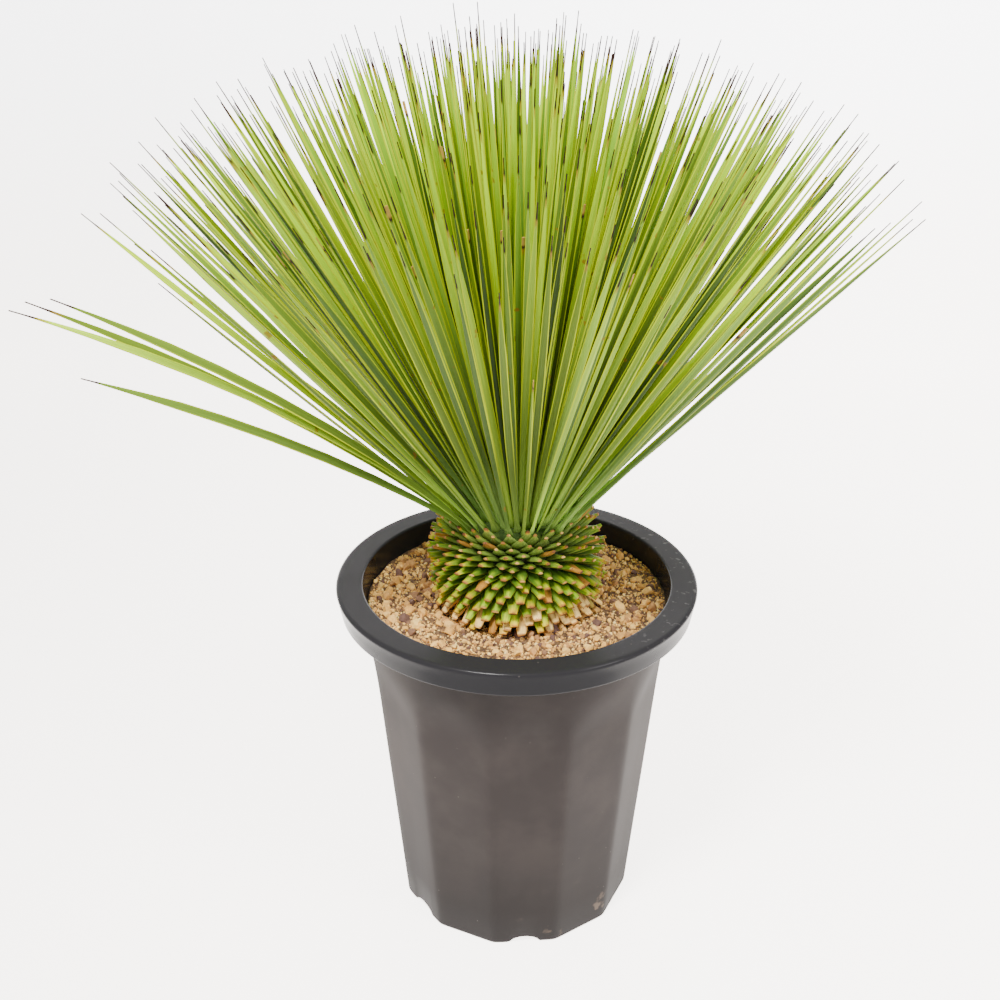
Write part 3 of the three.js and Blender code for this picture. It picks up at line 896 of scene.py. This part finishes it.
stem = make_stem()
stem.data.materials.append(stem_material("stem_bark", *BARK))
stubs = make_stubs()
stubs.data.materials.append(stub_side_material())
stubs.data.materials.append(stub_cut_material())
for part in (stem, stubs):
    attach(part, "root")
    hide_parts("trunk")


# ---- Leaf head ------------------------------------------------------------------------
# The crown's living leaves: narrow stiff straps with a shallow keel, thin yellow margins
# and a hard brown point. Upright in the middle and leaning further outwards, each turned
# about its length, some with a dead blunt end, and five astray on the left.

LEAF_COUNT = 345
FILLING_LEAVES = 310                    # more of the same, between the others
LEAF_LENGTH = 384 * MM
LEAF_WIDTH = 6.7 * MM
LEAF_KEEL = 2.2 * MM
CROWN_RADIUS = 54 * MM
CROWN_Z = 405 * MM
CROWN_RISE = 34 * MM
CROWN_PROFILE = [(0.0, 399.8), (53, 399.8), (56.5, 403), (55, 410), (41, 423), (22, 437), (0.0, 443)]
FRONT_SPREAD = 39                       # degrees from upright at the outside of the head
SIDE_SPREAD = 5.5                       # degrees more than that to the left and right
HEAD_LEAN = 0.03
LEFT_REACH = 26                         # millimetres more at the far left
BLUNT_SHARE = 0.09
CROWN_BARK = (colour(0.030, 0.070, 0.008), colour(0.080, 0.140, 0.015))
GREEN_SHADED_AND_OLDER = (colour(0.055, 0.104, 0.018), colour(0.175, 0.268, 0.058))
LIME_LIT_AND_YOUNG = (colour(0.130, 0.280, 0.001), colour(0.330, 0.490, 0.0))
CLASP_GREEN = colour(0.180, 0.280, 0.060)
MARGIN = colour(0.48, 0.58, 0.0)
SPOT_BROWN = colour(0.26, 0.13, 0.015)
SCORCH_BROWN = colour(0.30, 0.14, 0.02)
POINT_BROWN = colour(0.030, 0.012, 0.009)
DEAD_END = colour(0.40, 0.24, 0.05)
# How each stray leaf sets out, in degrees, its length in millimetres and its sag as a share.
STRAY_LEAVES = [
    {"azimuth": -132, "tilt": 43.8, "length": 461, "sag": 0.166},
    {"azimuth": -127, "tilt": 45.1, "length": 440, "sag": 0.125},
    {"azimuth": -133, "tilt": 43.0, "length": 446, "sag": 0.14},
    {"azimuth": -125, "tilt": 50, "length": 376, "sag": 0.12},
    {"azimuth": -106, "tilt": 39.8, "length": 221, "sag": 0.05},
]


def heading(azimuth, tilt):
    return outward(azimuth) * math.sin(tilt) + UP * math.cos(tilt)


def leaf_shape(i, count=LEAF_COUNT, first=0, shorter=0.0, widest=1.0):
    """Where leaf i of count starts, which way it goes and how it bends."""
    t = widest * math.sqrt((i + 0.5) / count)
    i += first
    azimuth = i * GOLDEN_ANGLE
    sideways = math.sin(azimuth) ** 2
    spread = (FRONT_SPREAD + SIDE_SPREAD * sideways) * t ** 1.05
    tilt = math.radians(spread + (draw(i, 1) - 0.5) * 3.4 * (0.3 + 0.7 * t))
    along = heading(azimuth + (draw(i, 2) - 0.5) * 0.12 * t, tilt) - np.array((HEAD_LEAN, 0.0, 0.0))
    left = LEFT_REACH * max(0.0, -math.sin(azimuth)) ** 6 * t ** 4
    free = LEAF_LENGTH + ((4 + 10 * sideways) * t * t + left + 30 * (draw(i, 3) - 0.5)) * MM - shorter
    blunt = draw(i, 4) < BLUNT_SHARE
    return {
        "root": outward(azimuth) * CROWN_RADIUS * t + UP * (CROWN_Z + CROWN_RISE * (1 - t * t)),
        "along": along / np.linalg.norm(along),
        "length": (free - 45 * MM * t ** 10 * draw(i, 10)) * (0.66 + 0.26 * draw(i, 5) if blunt else 1.0),
        "sag": 0.03 * (draw(i, 6) - 0.4) * t,
        "drift": 0.03 * (draw(i, 7) - 0.5),
        "roll": (draw(i, 9) - 0.5) * 2.2,
        "twist": (draw(i, 8) - 0.5) * 1.6,
        "blunt": blunt,
        "broad": 1.0,
        "tone": draw(i, 11),
        "lean": t,
    }


def stray_shape(leaf, place):
    """The same for a stray leaf, with its place in the list."""
    turn = math.radians(leaf["azimuth"])
    return {
        "root": outward(turn) * CROWN_RADIUS + UP * CROWN_Z,
        "along": heading(turn, math.radians(leaf["tilt"])),
        "length": leaf["length"] * MM,
        "sag": leaf["sag"],
        "drift": 0.0,
        "roll": 0.70 + 0.12 * place,
        "twist": 0.4,
        "blunt": False,
        "broad": 1.22,
        "tone": 0.8 - 0.12 * place,
        "lean": 1.0,
    }


# A leaf's section: how far across from margin to margin, and how far up as a share of
# the keel's thickness. The two margins have their own narrow strips.
LEAF_SECTION = [(-1.0, 0.0), (-0.80, 0.22), (0.0, 0.34), (0.80, 0.22), (1.0, 0.0),
                (0.80, -0.22), (0.0, -0.66), (-0.80, -0.22)]
LEAF_STATIONS = [-0.02, 0.0, 0.025, 0.05, 0.1, 0.18, 0.3, 0.44, 0.58, 0.7,
                 0.8, 0.88, 0.93, 0.96, 0.98, 1.0]


def leaf_width(s, blunt):
    """Share of the full width: clasping at the root, narrow above it, then drawn to a point."""
    root = 0.60 + 0.40 * smoothstep(0.05, 0.48, s) + 0.80 * smoothstep(0.05, 0.0, s)
    point = min(1.0, (1 - s) / 0.22) ** 0.78
    return root * (1 - 0.25 * s * s) * max(point, 0.5 if blunt else 0.16)


def make_leaves(name, shapes):
    """Leaves of these shapes in one mesh, each swept along its bending spine."""
    points, faces = [], []
    values = {"along": [], "across": [], "above": [], "tone": [], "blunt": [], "lean": []}
    for leaf in shapes:
        along = leaf["along"]
        side = np.array((-along[1], along[0], 0.0)) / math.hypot(along[0], along[1])
        down = np.cross(side, along)
        faces += strap_faces(len(points), len(LEAF_STATIONS), len(LEAF_SECTION), turned=True)
        for s in LEAF_STATIONS:
            bend = max(0.0, s) ** 2
            turn = leaf["roll"] + leaf["twist"] * max(0.0, s)
            across = side * math.cos(turn) + down * math.sin(turn)
            back = down * math.cos(turn) - side * math.sin(turn)
            spine = leaf["root"] + along * leaf["length"] * s
            spine = spine + (down * leaf["sag"] + side * leaf["drift"]) * bend * leaf["length"]
            width = LEAF_WIDTH * leaf["broad"] * leaf_width(max(0.0, s), leaf["blunt"]) / 2
            keel = LEAF_KEEL * min(1.0, 0.35 + 3 * (1 - max(0.0, s)))
            for a, h in LEAF_SECTION:
                points.append(spine + across * a * width - back * h * keel)
                for label, value in zip(values, (s, a, h, leaf["tone"], float(leaf["blunt"]), leaf["lean"])):
                    values[label].append(value)
    leaves = make_mesh(name, points, faces, smooth=False)
    for label, data in values.items():
        add_values(leaves, label, data)
    return leaves


def leaf_material():
    """Green strap with a yellow-green margin: lime where it is younger, in the middle of the
    head, and as painted light on the upper face and towards the tip; greyer green below as
    painted shade, and at the outside of the head, where it is older. Painted light and shade
    make each leaf lighter or darker at random and brighten the base and the tip. A few brown
    spots and a brown point."""
    material, shader, nodes = new_material("leaf", roughness=0.56)
    shader.inputs["Specular IOR Level"].default_value = 0.1
    along, across, above = [nodes.attribute(name) for name in ("along", "across", "above")]
    tone, lean, blunt = [nodes.attribute(name) for name in ("tone", "lean", "blunt")]
    patches = uneven_tone(nodes, patch_scale=30.0, grain_scale=500.0)[0]
    line = streaks(nodes, along, across, tone, 4.0)
    # Partly real and partly painted light: lime for the younger leaves in the middle of the head, and painted
    # light on the upper faces and towards the tips.
    young_and_lit = nodes.times(nodes.band(along, 0.10, 0.85), nodes.band(lean, 1.25, 0.3))
    young_and_lit = nodes.math("ADD", young_and_lit, nodes.times(nodes.band(above, -0.1, 0.15), 0.30))
    young_and_lit = nodes.math("ADD", young_and_lit, nodes.math("SUBTRACT", tone, 0.6), clamp=True)
    base = nodes.mix(young_and_lit, nodes.mix(tone, *GREEN_SHADED_AND_OLDER), nodes.mix(tone, *LIME_LIT_AND_YOUNG))
    base = nodes.mix(nodes.times(nodes.band(along, 0.07, 0.01), 0.7), base, CLASP_GREEN)
    # Painted light and shade: each leaf lighter or darker at random, standing for leaves turned towards the
    # light and away from it.
    own = nodes.math("FRACT", nodes.times(tone, 23.7))
    shade = nodes.times(nodes.remap(line, 0.55, 1.45), nodes.remap(own, 0.3, 1.4))
    # Painted light: brighter at the base and towards the tip.
    open_light = nodes.times(nodes.band(along, 0.45, 0.9), 0.35)
    open_light = nodes.math("ADD", nodes.band(along, 0.35, 0.05), open_light)
    base = shaded(nodes, base, nodes.times(shade, nodes.remap(open_light, 1.0, 2.1)))
    margin = nodes.band(nodes.math("ABSOLUTE", across), 0.72, 0.86)
    margin = nodes.times(margin, nodes.remap(along, 0.0, 1.0, 0.15, 0.5))
    base = nodes.mix(margin, base, MARGIN)
    spot = nodes.band(nodes.noise(75.0, 2.0), 0.70, 0.75)
    base = nodes.mix(nodes.times(spot, 0.75), base, SPOT_BROWN)
    dry = nodes.math("ADD", along, nodes.times(nodes.math("SUBTRACT", patches, 0.5), 0.03))
    scorch = nodes.times(nodes.band(dry, 0.935, 0.955), nodes.band(tone, 0.55, 0.65))
    base = nodes.mix(nodes.times(scorch, 0.7), base, SCORCH_BROWN)
    base = nodes.mix(nodes.band(dry, 0.955, 0.966), base, POINT_BROWN)
    base = nodes.mix(nodes.times(blunt, nodes.band(dry, 0.965, 0.975)), base, DEAD_END)
    finish_material(nodes, shader, base, line, strength=0.10, depth=0.4 * MM)
    return material


crown = make_turned("crown", CROWN_PROFILE, 72)
crown.data.materials.append(stem_material("crown_bark", *CROWN_BARK))
LEAF_FINISH = leaf_material()
shapes = [leaf_shape(i) for i in range(LEAF_COUNT)]
shapes += [leaf_shape(i, FILLING_LEAVES, first=1000, shorter=12 * MM, widest=0.9)
           for i in range(FILLING_LEAVES)]
head_leaves = make_leaves("head_leaves", shapes)
stray_leaves = make_leaves("stray_leaves", [stray_shape(leaf, k) for k, leaf in enumerate(STRAY_LEAVES)])
for part in (head_leaves, stray_leaves):
    part.data.materials.append(LEAF_FINISH)
for part in (crown, head_leaves, stray_leaves):
    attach(part, "root")
    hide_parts("leaf_head")
